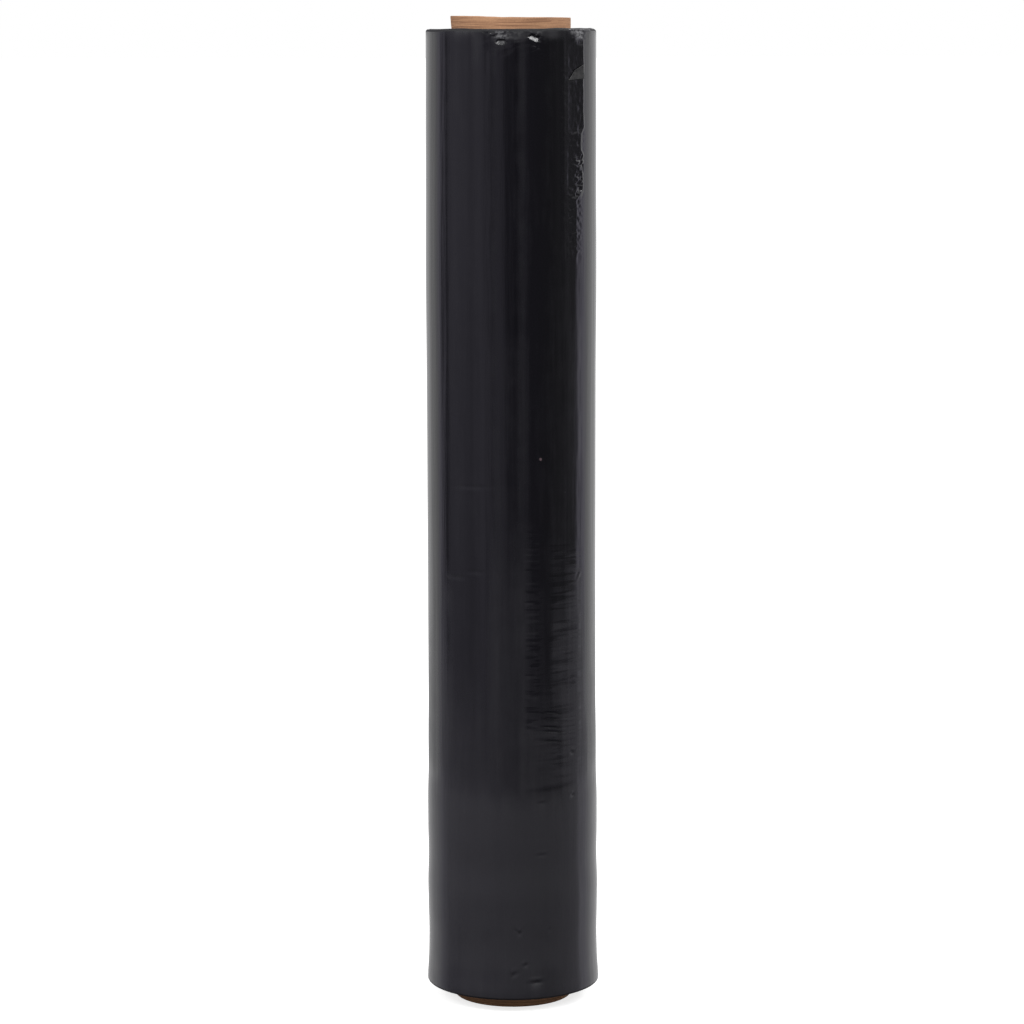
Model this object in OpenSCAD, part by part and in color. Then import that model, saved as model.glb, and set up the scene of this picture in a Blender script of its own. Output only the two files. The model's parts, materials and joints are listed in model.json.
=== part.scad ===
// Roll of black stretch wrap film on a paperboard core, standing on the core's lower end.
// Millimetres. The roll's axis is Z, Z = 0 is the core's lower end and -Y is the front.
// A place on the roll is given by its turn, in degrees from the front towards +X, and by its
// height above the film's foot.

/* [Core] */
// Bore of the paperboard core
core_bore = 50.8; // [40:0.1:76.4]
// Wall of the core
core_wall = 5.3; // [3:0.1:10]
// Length of core that stands out below the film's foot
foot_standout = 7.6; // [2:0.2:30]
// Length of core that stands out above the film's upper edge
head_standout = 6.4; // [2:0.2:30]
// Size of the broken edges at the core's cut ends
core_chamfer = 0.4; // [0.1:0.05:1]
// Width of the butt seam in the core's outer ply
seam_w = 0.6; // [0.2:0.05:1.2]
// Depth of the butt seam
seam_deep = 0.25; // [0.1:0.05:0.6]
// Rise of the butt seam from the horizontal
seam_rise = 32; // [15:1:60]

/* [Wound film] */
// Width of the film, which is the height of the wound body
film_w = 500; // [350:5:1000]
// Thickness of the wound turns at mid-height
film_build = 13.2; // [8:0.1:60]
// Slack between the core and the first turn
wind_gap = 0.05; // [0:0.01:0.3]
// Rounding of the outer turns at both edges of the film
edge_round = 1.2; // [0.4:0.1:3]
// Width of each ring of turns that shows on the ends
turn_ring = 0.85; // [0.5:0.05:3]
// How far such a ring stands in or out
turn_stagger = 0.22; // [0.05:0.01:0.6]

/* [Gauge bands] */
// How much the radius draws in at the upper edge
top_draw = 0.2; // [0:0.05:1]
// Height over which the upper edge draws in
top_draw_run = 60; // [20:5:120]
// Extra radius of the thick band high on the roll
high_band = 0.25; // [0:0.05:1]
// Distance of that band below the upper edge
high_band_drop = 125; // [80:5:170]
// Reach of that band to each side
high_band_reach = 60; // [20:5:80]
// Extra radius of the thick band low on the roll
low_band = 0.75; // [0:0.05:2]
// Height of the upper limit of that band
low_band_top = 118; // [60:1:160]
// Height over which that band fades out
low_band_fade = 22; // [5:1:40]
// Extra radius of the slight shoulder at that limit
shoulder = 0.25; // [0:0.05:0.6]
// Reach of the shoulder to each side
shoulder_reach = 36; // [20:1:60]
// How much the radius draws in just above the flared foot
waist = 0.25; // [0:0.05:0.6]
// Height of the narrowest place
waist_h = 27; // [20:1:40]
// Reach of the draw to each side
waist_reach = 16; // [10:1:20]
// Extra radius of the flared foot
lip = 0.7; // [0:0.05:2]
// Height of the flare
lip_h = 15; // [6:1:40]

/* [Tail] */
// Turn of the film's free edge from the front
tail_turn = 49; // [-180:1:180]
// Height of the step at the free edge
tail_step = 0.3; // [0.1:0.05:0.6]
// How far the free edge wanders to each side
tail_wander = 2.4; // [0:0.1:5]
// Distance of the folded corner below the upper edge
fold_drop = 25.5; // [15:0.5:60]
// Width of the folded corner
fold_w = 12.8; // [4:0.1:20]
// Height of the folded corner
fold_h = 7; // [3:0.1:15]
// Thickness of the folded corner
fold_t = 0.35; // [0.1:0.05:1]

/* [Creases and pinches] */
// Depth of a crease
crease_deep = 0.25; // [0.1:0.05:0.5]
// Width of a crease
crease_w = 1.1; // [0.5:0.1:2]
// Depth of a pinch
pinch_deep = 0.5; // [0.2:0.05:1]
// Radius of the hollow of a pinch
pinch_r = 2.2; // [1:0.1:5]

/* [Hidden] */
$fn = 180;
far = 10;

core_bore_r = core_bore / 2;
core_r = core_bore_r + core_wall;
core_len = film_w + foot_standout + head_standout;
film_bore_r = core_r + wind_gap;
mid_r = film_bore_r + film_build;

arc_steps = 4;
lip_steps = 6;
body_steps = 42;
lower_seed = 11;
upper_seed = 23;

tail_bands = 26;
tail_seed = 5;
tail_waves = 3.5;
band_lap = 0.6;
band_tilt = 0.6;

// Short tension creases: turns, heights, how many, seed
front_creases = [12, 52, 126, 214, 25, 31];
tail_creases = [43, 60, 384, 466, 20, 47];
// Long faint creases: turns and height
long_creases = [[-47, -8, 268.5], [-54, -30, 221], [-34, -17, 224.5], [14, 61, 112]];
// Pinches beside the upper edge: turn, distance below it, slant
top_pinches = [[-6.5, 5.5, -8], [1, 2.2, 10], [15.5, 4.4, 24], [55, 3.6, 18]];
// Pinches beside the foot: turn, height, slant
foot_pinches = [[15.5, 9, 4], [6.5, 17.5, -24]];

function ease(t) = (1 - cos(180 * max(0, min(1, t)))) / 2;
function swell(t) = ease(1 - abs(t));

// Outer radius of the wound film at a height above its foot
function roll_r(h) = mid_r
    - top_draw * ease((h - film_w + top_draw_run) / top_draw_run)
    + high_band * swell((h - film_w + high_band_drop) / high_band_reach)
    + low_band * ease((low_band_top - h) / low_band_fade)
    + shoulder * swell((h - low_band_top) / shoulder_reach)
    - waist * swell((h - waist_h) / waist_reach)
    + lip * ease((lip_h - h) / lip_h);

// Rings of turns across one end, from the bore out to radius r, at height h
function end_rings(r, h, seed) =
    let (
        count = max(2, round((r - film_bore_r) / turn_ring)),
        ring = (r - film_bore_r) / count,
        stand = rands(-turn_stagger, turn_stagger, count, seed)
    )
    [for (i = [0:count - 1], side = [0, 1]) [film_bore_r + (i + side) * ring, h + stand[i]]];

function reversed(points) = [for (i = [len(points) - 1:-1:0]) points[i]];

// Rounded outer edge about the centre [r, h], between two angles
function edge_arc(r, h, from, to) = [
    for (i = [0:arc_steps])
        let (a = from + (to - from) * i / arc_steps)
        [r + edge_round * cos(a), h + edge_round * sin(a)]
];

// Half section of the wound film, its outside grown by a skin
function film_section(skin) =
    let (
        foot_r = roll_r(0) - edge_round,
        head_r = roll_r(film_w) - edge_round,
        head_h = film_w - edge_round,
        lip_part = [for (i = [1:lip_steps]) edge_round + (lip_h - edge_round) * i / lip_steps],
        body_part = [for (i = [1:body_steps - 1]) lip_h + (head_h - lip_h) * i / body_steps]
    )
    concat(
        end_rings(foot_r, 0, lower_seed),
        [for (p = edge_arc(foot_r, edge_round, -90, 0)) p + [skin, 0]],
        [for (h = concat(lip_part, body_part)) [roll_r(h) + skin, h]],
        [for (p = edge_arc(head_r, head_h, 0, 90)) p + [skin, 0]],
        reversed(end_rings(head_r, film_w, upper_seed))
    );

module wound_body(skin = 0) {
    rotate_extrude() polygon(film_section(skin));
}

// What lies out past the roll, seen square on at the tail: an outline of [sideways, height]
module tail_window(outline) {
    rotate([0, 0, tail_turn])
        rotate([90, 0, 0])
            linear_extrude(height = mid_r + far) polygon(outline);
}

// Sideways place of the free edge at each joint between its bands
tail_shake = rands(-0.35, 0.35, tail_bands + 1, tail_seed);
function tail_side(i) = tail_wander * (0.65 * sin(360 * tail_waves * i / tail_bands) + tail_shake[i]);

// The hollow beside the free edge, where the turn below lies flat until it meets the round again
module tail_hollow() {
    band_h = film_w / tail_bands;
    run_out = sqrt(2 * mid_r * tail_step) + 2 * tail_wander + 1;
    lean = rands(-band_tilt, band_tilt, tail_bands, tail_seed + 1);
    rise = rands(0.7, 1.15, tail_bands, tail_seed + 2);
    edge = [for (i = [0:tail_bands]) [tail_side(i), i * band_h]];
    intersection() {
        tail_window(concat(edge, [[run_out + far, film_w], [run_out + far, 0]]));
        for (i = [0:tail_bands - 1]) {
            h = (i + 0.5) * band_h;
            floor_r = roll_r(h) - tail_step * rise[i];
            side = (tail_side(i) + tail_side(i + 1)) / 2;
            rotate([0, 0, tail_turn + asin(side / mid_r)])
                translate([0, -floor_r, h])
                    rotate([lean[i], 0, 0])
                        translate([-2 * tail_wander - 2, -far, -(band_h + band_lap) / 2])
                            cube([run_out + 2 * tail_wander + 2 * far, far, band_h + band_lap]);
        }
    }
}

// The tail's upper corner, folded down on the roll
module folded_corner() {
    low = film_w - fold_drop;
    left = -fold_w * 0.44;
    intersection() {
        wound_body(fold_t);
        tail_window([
            [left, low],
            [left + fold_w, low + fold_h * 0.2],
            [left + fold_w, low + fold_h],
            [left + fold_w / 2, low + fold_h * 0.93]
        ]);
    }
}

// A crease in the outer turn, cut between two turns at a height
module crease(from, to, h) {
    r = roll_r(h);
    flank = crease_w / 2 * (1 + 1 / crease_deep);
    rotate([0, 0, from - 90])
        rotate_extrude(angle = to - from)
            polygon([[r - crease_deep, h], [r + 1, h - flank], [r + 1, h + flank]]);
}

module crease_patch(patch) {
    lo = patch[0];
    reach = patch[1] - patch[0];
    count = patch[4];
    pitch = (patch[3] - patch[2]) / count;
    start = rands(0, 0.6, count, patch[5]);
    span = rands(0.22, 0.4, count, patch[5] + 1);
    for (i = [0:count - 1]) {
        crease(lo + reach * start[i], lo + reach * (start[i] + span[i]), patch[2] + (i + 0.5) * pitch);
    }
}

// A pinch in the outer turns, which fades out where the roll curves away
module pinch(turn, h, slant) {
    rotate([0, 0, turn])
        translate([0, -(roll_r(h) + pinch_r - pinch_deep), h])
            rotate([0, 90 + slant, 0])
                cylinder(r = pinch_r, h = core_r, center = true);
}

module film() {
    color([0.13, 0.13, 0.14])
        translate([0, 0, foot_standout])
            difference() {
                union() {
                    difference() {
                        wound_body();
                        tail_hollow();
                    }
                    folded_corner();
                }
                crease_patch(front_creases);
                crease_patch(tail_creases);
                for (c = long_creases) crease(c[0], c[1], c[2]);
                for (p = top_pinches) pinch(p[0], film_w - p[1], p[2]);
                for (p = foot_pinches) pinch(p[0], p[1], p[2]);
                cylinder(r = film_bore_r, h = 3 * film_w, center = true);
            }
}

// The butt seam of the outer ply, where it crosses one end of the core past the film
module core_seam(turn, h, standout) {
    rotate([0, 0, turn])
        translate([0, -core_r, h])
            rotate([0, seam_rise, 0])
                cube([seam_w, 2 * seam_deep, 2 * standout / cos(seam_rise) + far], center = true);
}

module core() {
    color([0.69, 0.54, 0.41])
        difference() {
            rotate_extrude()
                polygon([
                    [core_bore_r + core_chamfer, 0],
                    [core_r - core_chamfer, 0],
                    [core_r, core_chamfer],
                    [core_r, core_len - core_chamfer],
                    [core_r - core_chamfer, core_len],
                    [core_bore_r + core_chamfer, core_len],
                    [core_bore_r, core_len - core_chamfer],
                    [core_bore_r, core_chamfer]
                ]);
            core_seam(118, 0, foot_standout);
            core_seam(-160, core_len, head_standout);
        }
}

core();
film();
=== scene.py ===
import json
import math
import random

import bmesh
import bpy
import numpy as np
from bpy.props import FloatProperty, FloatVectorProperty, IntProperty, PointerProperty
from mathutils import Matrix, Vector, noise


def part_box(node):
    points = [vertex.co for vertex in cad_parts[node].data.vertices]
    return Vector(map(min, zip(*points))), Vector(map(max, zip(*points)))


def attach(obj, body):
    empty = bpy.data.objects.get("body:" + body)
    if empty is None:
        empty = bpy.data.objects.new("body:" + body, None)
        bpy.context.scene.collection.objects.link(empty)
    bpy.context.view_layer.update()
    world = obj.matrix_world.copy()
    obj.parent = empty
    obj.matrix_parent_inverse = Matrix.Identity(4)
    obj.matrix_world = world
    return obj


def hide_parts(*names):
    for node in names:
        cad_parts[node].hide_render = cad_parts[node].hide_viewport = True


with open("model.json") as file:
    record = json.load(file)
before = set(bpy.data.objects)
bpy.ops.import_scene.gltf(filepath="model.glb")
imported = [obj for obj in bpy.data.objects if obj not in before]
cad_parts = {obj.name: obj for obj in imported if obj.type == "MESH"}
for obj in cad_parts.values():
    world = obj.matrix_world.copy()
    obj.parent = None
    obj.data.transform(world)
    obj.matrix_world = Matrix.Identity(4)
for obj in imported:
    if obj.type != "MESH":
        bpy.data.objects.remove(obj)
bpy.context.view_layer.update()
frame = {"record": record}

bl_info = {
    "name": "Stretch Wrap Roll",
    "version": (1, 0, 0),
    "blender": (4, 5, 0),
    "location": "View3D > Sidebar > Wrap Roll",
    "description": "Dresses a roll of black stretch film on its paperboard core",
    "category": "Add Mesh",
}

MM = 0.001
# Two levels or two radii nearer than this are the same
SAME = 1e-6
CORE_LOW, CORE_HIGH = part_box("core")
# Faces round the core, up it and across its wall
CORE_COLUMNS, CORE_ROWS, CORE_RINGS = 192, 150, 12

# In the tables, a turn is in degrees from the front towards the right-hand side, a height is above
# the film's foot, and heights and lengths are in millimetres

# Gauge bands: how much the radius grows or draws in, its heights or distance below the upper edge, reach
TOP_DRAW, TOP_DRAW_RUN = 0.20, 60
HIGH_BAND, HIGH_BAND_DROP, HIGH_BAND_REACH = 0.25, 125, 60
LOW_BAND, LOW_BAND_TOP, LOW_BAND_FADE = 0.75, 118, 22
SHOULDER, SHOULDER_TOP, SHOULDER_FADE = 0.25, 130, 24
LIP, LIP_H = 0.70, 15
WAIST, WAIST_H, WAIST_REACH = 0.25, 27, 16
HOLLOW, HOLLOW_H, HOLLOW_REACH = 0.25, 70, 9
SWELL, SWELL_H, SWELL_REACH = 0.18, 53, 7
# Upright ridges in the front of the wound film: turn, width in degrees, height of the ridge
FRONT_RIDGES = [
    (-52.0, 2.2, -0.10),
    (-38.0, 2.6, 0.06),
    (-25.0, 2.0, -0.07),
    (-16.5, 1.6, -0.09),
    (-10.0, 2.0, 0.08),
    (-1.0, 2.6, -0.10),
    (7.5, 2.4, 0.09),
    (15.0, 2.0, -0.06),
    (33.0, 2.4, 0.06),
    (41.0, 1.2, 0.08),
]
# Upright streaks of haze: turn, width in degrees, strength
HAZE_STREAKS = [
    (-50.0, 1.8, -0.12),
    (-45.0, 3.0, 0.08),
    (-38.0, 5.0, 0.12),
    (-24.0, 2.2, 0.14),
    (-10.5, 2.6, 0.22),
    (7.0, 3.0, 0.26),
    (39.5, 2.2, 0.11),
]
# Bands of haze: turns from and to, height of the upper border, depth over which it grows, strength
HAZE_BANDS = [
    (-14.0, 9.0, 350, 12, 0.12),
    (-14.0, 9.0, 285, 100, 0.50),
    (29.0, 37.0, 374, 24, 0.11),
    (30.0, 56.0, 240, 60, 0.62),
    (-55.0, -46.0, 226, 16, 0.25),
    (-55.0, -46.0, 212, 60, 0.52),
    (8.0, 44.0, 178, 30, 0.36),
    (6.0, 60.0, 164, 26, 0.66),
    (37.0, 51.0, 177, 18, 0.92),
    (41.0, 52.0, 252, 56, 0.80),
    (44.0, 50.0, 372, 30, 0.14),
    (13.0, 19.0, 224, 12, 0.20),
    (-46.0, 12.0, 190, 70, 0.52),
]
# Smudges of haze beside the upper edge: turn, width in degrees, height where it starts, rise over
# which it grows, strength
SMUDGES = [
    (-7.5, 7.0, 493, 4, 0.50),
    (-7.5, 2.6, 489, 3, 0.24),
    (-22.0, 5.0, 470, 24, 0.32),
    (2.5, 7.5, 492.5, 4, 0.85),
    (16.5, 9.0, 496.8, 2, 0.85),
    (28.0, 9.0, 493.5, 4, 0.70),
    (-38.0, 12.0, 493, 5, 0.30),
    (52.0, 7.0, 495, 2, 0.90),
]
# Long faint creases: turns from and to, height, rise for each degree, change of haze
LONG_CREASES = [
    (-47.0, -8.0, 268.5, 0.01, 0.16),
    (-54.0, -30.0, 221.0, 0.01, 0.28),
    (-34.0, -17.0, 224.5, 0.01, 0.26),
    (4.0, 60.0, 111.8, 0.055, -0.45),
]
# Groups of short level creases: turns from and to, heights from and to, spacing, depth
CREASE_GROUPS = [
    (14.0, 23.0, 163, 214, 2.1, 0.024),
    (33.0, 51.5, 158, 220, 2.0, 0.016),
    (42.0, 52.5, 188, 199, 1.7, 0.055),
    (42.0, 52.5, 165, 176, 1.7, 0.055),
    (12.0, 38.0, 106, 134, 3.6, 0.018),
]
# Crisp single creases: turns from and to, height, depth
CRISP_CREASES = [
    (18.0, 36.0, 151.2, 0.24),
    (18.5, 35.0, 148.2, 0.20),
    (20.0, 45.0, 146.2, 0.09),
    (17.5, 36.5, 143.6, 0.26),
    (18.5, 38.0, 141.2, 0.24),
    (18.0, 39.0, 136.2, 0.22),
]
# Pinches in the film: turn, height, length across, width up, slant in radians, depth
PINCHES = [
    (-5.0, 498.2, 2.4, 1.1, 0.10, 0.45),
    (-10.5, 497.0, 1.8, 0.9, 0.35, 0.35),
    (-17.5, 498.6, 1.6, 0.8, -0.60, 0.35),
    (16.8, 491.5, 2.6, 0.6, -0.45, 0.11),
    (16.0, 490.0, 2.2, 0.6, 0.35, 0.10),
    (54.5, 492.6, 2.6, 0.8, -0.10, 0.12),
    (15.5, 9.0, 3.2, 1.0, 0.05, 0.55),
    (8.5, 18.5, 1.2, 0.9, 0.60, 0.40),
    (0.5, 13.5, 2.6, 1.1, 0.45, 0.28),
    (3.0, 36.2, 2.2, 0.8, -0.80, 0.30),
    (5.0, 36.0, 1.8, 0.8, 1.00, 0.24),
    (25.0, 36.5, 1.2, 0.8, 1.20, 0.20),
    (19.5, 76.5, 2.6, 0.8, 0.05, 0.24),
    (20.0, 104.0, 2.4, 0.8, 0.00, 0.22),
    (-17.0, 32.0, 3.0, 1.6, 0.20, 0.10),
    (51.6, 220.5, 1.8, 0.8, 0.90, -0.22),
    (44.8, 128.6, 1.2, 0.8, 0.00, 0.60),
    (44.2, 106.2, 1.2, 0.8, 0.30, 0.52),
]
# Facets that face up beside the pinches of the upper edge, in the same way
FACETS = [
    (-6.4, 493.8, 5.8, 2.1, -0.14, 0.74),
    (-14.5, 498.4, 1.6, 1.0, -0.40, 0.38),
    (15.6, 495.2, 7.0, 2.2, -0.36, 0.67),
    (55.0, 495.6, 5.0, 1.6, -0.30, 0.36),
    (50.0, 498.0, 13.0, 1.5, -0.03, 0.42),
]
# The loose film beside the free edge lies flat from the first of these turns to the last, or lower
# down to the middle one
SLACK = (38.0, 48.9, 57.0)
# Height at which it grows wider
SLACK_STEP = 416
# Share of its width, from the left, at which the flat film faces straight out
SLACK_FACING = 0.447
# Crinkled patches beside the free edge: turns from and to, their fade in degrees, heights from and to,
# their fade, depth, length across and up of the crinkles, place in the noise
CRINKLES = [
    (49.0, 56.0, 1.0, 417, 437, 2, 0.42, 3.2, 1.4, 11.0),
    (43.0, 54.0, 2.0, 386, 418, 5, 0.11, 3.2, 1.5, 6.0),
    (50.0, 56.5, 1.5, 440, 484, 5, 0.16, 2.8, 2.4, 2.0),
    (36.0, 50.0, 3.0, 386, 484, 8, 0.13, 3.4, 2.0, 9.0),
]
# Rises and dips of the upper edge: turn, width in degrees, height
RIM_WAVES = [
    (-56.0, 12.0, 0.25),
    (-37.0, 10.0, 0.45),
    (-7.5, 7.0, -0.75),
    (4.0, 6.0, 0.10),
    (35.0, 13.0, 0.55),
    (57.0, 9.0, 0.40),
]
# Turns between which the rounded rim keeps the gloss of the outer turn
GLOSSY_RIMS = [(42, 68), (-10.5, -4.5)]
# Folded corner: its foot's distance below the upper edge, its corners across and up from there, thickness
FOLD_DROP = 26.4
FOLD_OUTLINE = [(-5.9, 0.8), (6.3, 1.6), (5.4, 8.6), (-0.6, 6.1)]
FOLD_THICKNESS = 0.12
# Round patches of painted sheen on the outer turn, lighter grey where the upper edge catches the light: turn,
# height, radius, grey of the sheen
SHEEN_PATCHES = [
    (-7.0, 497.8, 5.2, 0.11),
    (3.0, 499.2, 6.0, 0.035),
    (16.0, 499.6, 5.5, 0.06),
    (52.0, 499.4, 7.0, 0.12),
]
# Patches of the outer turn with finer faces: turns from and to, heights from and to, cuts in each
# upright edge and in each level one
FINER = [
    (2, 60, 104, 236, 4, 1),
    (10, 54, 132, 222, 1, 0),
    (44, 57, 240, 384, 2, 1),
    (35, 62, 384, 478, 3, 2),
    (-24, 68, 478, 499, 3, 2),
    (-20, 24, 486, 499, 2, 0),
    (-12, 22, 490, 498.6, 0, 1),
    (42, 61, 387, 452, 1, 0),
    (46, 62, 488, 499, 1, 0),
    (-2, 28, 8, 42, 4, 1),
    (14, 26, 72, 82, 4, 1),
    (-58, -4, 262, 275, 3, 0),
    (-58, -14, 216, 230, 3, 0),
]
# Lamps: name, place, side, power
LAMPS = [
    ("Front lamp", (0.25, -1.75, 1.85), 0.6, 16.0),
    ("Left lamp", (-1.8, -0.7, 1.5), 0.9, 22.0),
    ("Right lamp", (1.5, -1.2, 1.5), 0.48, 11.0),
    ("Back lamp", (1.6, 0.65, 1.5), 0.6, 12.0),
]
# What gloss sees at its own level, round the roll: direction in degrees from the front, brightness
SEEN_ROUND = [
    (-180, 0.80), (-122, 0.81), (-112, 0.76), (-105, 0.40), (-99.5, 0.04), (-96, 0.22), (-93, 0.44),
    (-84, 0.49), (-63, 0.50), (-54, 0.43), (-45, 0.54), (-35, 0.48), (-24, 0.17), (-16, 0.42),
    (-11, 0.36), (-3, 0.16), (6, 0.06), (14, 0.19), (20, 0.18), (29, 0.10), (58, 0.10), (69, 0.17),
    (75, 0.10), (85, 0.22), (91, 0.15), (98, 0.18), (104, 0.44), (112, 0.92), (122, 0.97), (180, 0.84),
]


class WrapRollSizes(bpy.types.PropertyGroup):
    """Sizes of the roll"""

    film_foot: FloatProperty(
        name="Film foot", description="Height of the film's lower edge", default=7.6 * MM, unit="LENGTH"
    )
    film_head: FloatProperty(
        name="Film head", description="Height of the film's upper edge", default=507.6 * MM, unit="LENGTH"
    )
    film_bore: FloatProperty(
        name="Film bore", description="Inner radius of the wound film", default=30.75 * MM, unit="LENGTH"
    )
    film_radius: FloatProperty(
        name="Film radius", description="Outer radius at mid-height", default=43.95 * MM, unit="LENGTH"
    )
    edge_round: FloatProperty(
        name="Edge rounding",
        description="Rounding of the outer turns at both edges",
        default=1.2 * MM,
        unit="LENGTH",
    )
    turn_stagger: FloatProperty(
        name="Turn stagger",
        description="How far the turns stand in or out on the ends",
        default=0.2 * MM,
        unit="LENGTH",
    )
    tail_turn: FloatProperty(
        name="Tail turn",
        description="Turn of the free edge from the front",
        default=math.radians(49),
        subtype="ANGLE",
    )
    tail_step: FloatProperty(
        name="Tail step", description="Fall of the surface at the free edge", default=0.12 * MM, unit="LENGTH"
    )
    core_chamfer: FloatProperty(
        name="Core edge", description="Broken edges at the core's cut ends", default=0.4 * MM, unit="LENGTH"
    )
    columns: IntProperty(name="Columns", description="Faces round the film", default=240)
    rows: IntProperty(name="Rows", description="Faces up the film", default=150)
    rings: IntProperty(name="Rings", description="Rings of turns modelled on each end", default=24)
    seed: IntProperty(name="Seed", description="Seed of the small irregular marks", default=12)


class WrapRollFinish(bpy.types.PropertyGroup):
    """Colours and gloss of the roll"""

    film_clear: FloatVectorProperty(
        name="Clear film",
        description="Colour of the glossy film",
        default=(0.0028, 0.0026, 0.0040),
        subtype="COLOR",
    )
    film_hazy: FloatVectorProperty(
        name="Hazy film",
        description="Colour of the film where it is hazy",
        default=(0.0125, 0.0118, 0.0155),
        subtype="COLOR",
    )
    film_gloss: FloatProperty(
        name="Film roughness", description="Roughness of the glossy film", default=0.16, min=0, max=1
    )
    film_haze: FloatProperty(
        name="Haze roughness", description="Roughness where the film is hazy", default=0.6, min=0, max=1
    )
    board: FloatVectorProperty(
        name="Paperboard", description="Colour of the core", default=(0.55, 0.305, 0.172), subtype="COLOR"
    )
    board_dark: FloatVectorProperty(
        name="Paperboard fibres",
        description="Colour of its darker fibres",
        default=(0.30, 0.155, 0.088),
        subtype="COLOR",
    )


class WrapRollStage(bpy.types.PropertyGroup):
    """Camera, lamps and floor"""

    distance: FloatProperty(
        name="Distance", description="From the roll's axis to the camera", default=1.78, unit="LENGTH"
    )
    height: FloatProperty(name="Height", description="Height of the camera", default=0.5076, unit="LENGTH")
    tilt: FloatProperty(
        name="Tilt", description="How far the camera looks down", default=math.radians(7.99), subtype="ANGLE"
    )
    roll: FloatProperty(
        name="Lean", description="How far the camera leans", default=math.radians(-0.145), subtype="ANGLE"
    )
    pan: FloatProperty(
        name="Pan", description="How far the camera turns aside", default=math.radians(0.001), subtype="ANGLE"
    )
    lens: FloatProperty(name="Lens", description="Focal length in millimetres", default=120.9)
    floor_size: FloatProperty(name="Floor", description="Side of the floor", default=120.0, unit="LENGTH")


def sizes():
    return bpy.context.scene.wrap_roll_sizes


def finish():
    return bpy.context.scene.wrap_roll_finish


def ease(t):
    """0 to 1 with a soft start and end, for a number or an array."""
    return (1.0 - np.cos(np.pi * np.clip(t, 0.0, 1.0))) / 2.0


def window(x, low, high, fade):
    """1 between low and high, falling to 0 over fade to each side."""
    return ease((x - low) / fade + 1.0) * ease((high - x) / fade + 1.0)


def bell(x, centre, width):
    return np.exp(-(((x - centre) / width) ** 2))


def film_height():
    return sizes().film_head - sizes().film_foot


def gauge(h):
    """How much the wound film's radius differs from mid-height, at heights h above its foot."""
    top = film_height()
    return (
        -TOP_DRAW * MM * ease((h - top + TOP_DRAW_RUN * MM) / (TOP_DRAW_RUN * MM))
        + HIGH_BAND * MM * ease(1.0 - np.abs(h - top + HIGH_BAND_DROP * MM) / (HIGH_BAND_REACH * MM))
        + LOW_BAND * MM * ease((LOW_BAND_TOP * MM - h) / (LOW_BAND_FADE * MM))
        + SHOULDER * MM * window(h, LOW_BAND_TOP * MM, SHOULDER_TOP * MM, SHOULDER_FADE * MM)
        + LIP * MM * ease((LIP_H * MM - h) / (LIP_H * MM))
        - WAIST * MM * ease(1.0 - np.abs(h - WAIST_H * MM) / (WAIST_REACH * MM))
        - HOLLOW * MM * bell(h, HOLLOW_H * MM, HOLLOW_REACH * MM)
        + SWELL * MM * bell(h, SWELL_H * MM, SWELL_REACH * MM)
    )


def wave(turn, h, seed):
    """A slow wander, -1 to 1, of turns in degrees and heights in metres."""
    return (
        np.sin(np.radians(turn) * 1.0 + h * 21.0 + seed)
        + 0.6 * np.sin(np.radians(turn) * 2.0 - h * 47.0 + 2.1 * seed)
        + 0.4 * np.sin(h * 93.0 + 3.7 * seed)
    ) / 2.0


def places(co):
    """Turns, and heights above the film's foot, of an array of points."""
    return np.degrees(np.arctan2(co[:, 0], -co[:, 1])), co[:, 2] - sizes().film_foot


def around(turn, centre):
    """Turn from a centre, in degrees, the short way round."""
    return (turn - centre + 180.0) % 360.0 - 180.0


def upright_ridges(turn, h):
    """Ridges and flats that run up the roll, where the film was wound over trapped air."""
    rng = random.Random(sizes().seed)
    ridges = list(FRONT_RIDGES)
    centre = 64.0
    while centre < 300.0:
        ridges.append((centre, rng.uniform(1.4, 3.4), rng.uniform(-0.10, 0.10)))
        centre += rng.uniform(4.0, 11.0)
    relief = np.zeros_like(turn)
    for i, (centre, width, height) in enumerate(ridges):
        side = around(turn, centre + 0.7 * wave(0.0, h, i))
        strength = 0.65 + 0.35 * wave(centre, h, i + 0.5)
        relief += height * MM * strength * bell(side, 0.0, width)
    return relief * (0.35 + 0.65 * ease((h - 100 * MM) / (40 * MM)))


def out_of_round(turn, h):
    """The wound body is neither quite round nor quite straight."""
    a = np.radians(turn)
    bow = -0.32 * MM * np.sin(a) * np.sin(np.pi * h / film_height())
    lobes = 0.06 * MM * np.sin(2 * a + 0.6 + 3 * h) + 0.04 * MM * np.sin(3 * a - 1.1 - 5 * h)
    return bow + lobes + 0.025 * MM * np.sin(7 * a + 9 * h)


def groove(turn, h, start, end, height, width, slope):
    """A crease cut between two turns, fading at both ends."""
    middle, half = (start + end) / 2, (end - start) / 2
    side = around(turn, middle)
    level = height + slope * side * MM
    return bell(h, level, width) * ease(1.15 - np.abs(side) / half)


def short_creases():
    """The short level creases: turns from and to, height, slope, width, depth."""
    rng = random.Random(sizes().seed + 1)
    found = []
    for first, last, low, high, spacing, depth in CREASE_GROUPS:
        level = low * MM
        while level < high * MM:
            start = first + (last - first) * rng.uniform(0.0, 0.4)
            end = start + (last - first) * rng.uniform(0.4, 0.8)
            slope = rng.uniform(-0.012, 0.02)
            deep = depth * MM * rng.uniform(0.5, 1.3)
            found.append((start, min(end, last + 2), level, slope, 0.5 * MM, deep))
            level += spacing * MM * rng.uniform(0.6, 1.5)
    for start, end, height, depth in CRISP_CREASES:
        found.append((start, end, height * MM, -0.10, 0.45 * MM, depth * MM))
        found.append((end - 4, 51.0, height * MM - 1.0 * MM, -0.02, 0.4 * MM, 0.03 * MM))
    return found


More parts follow.
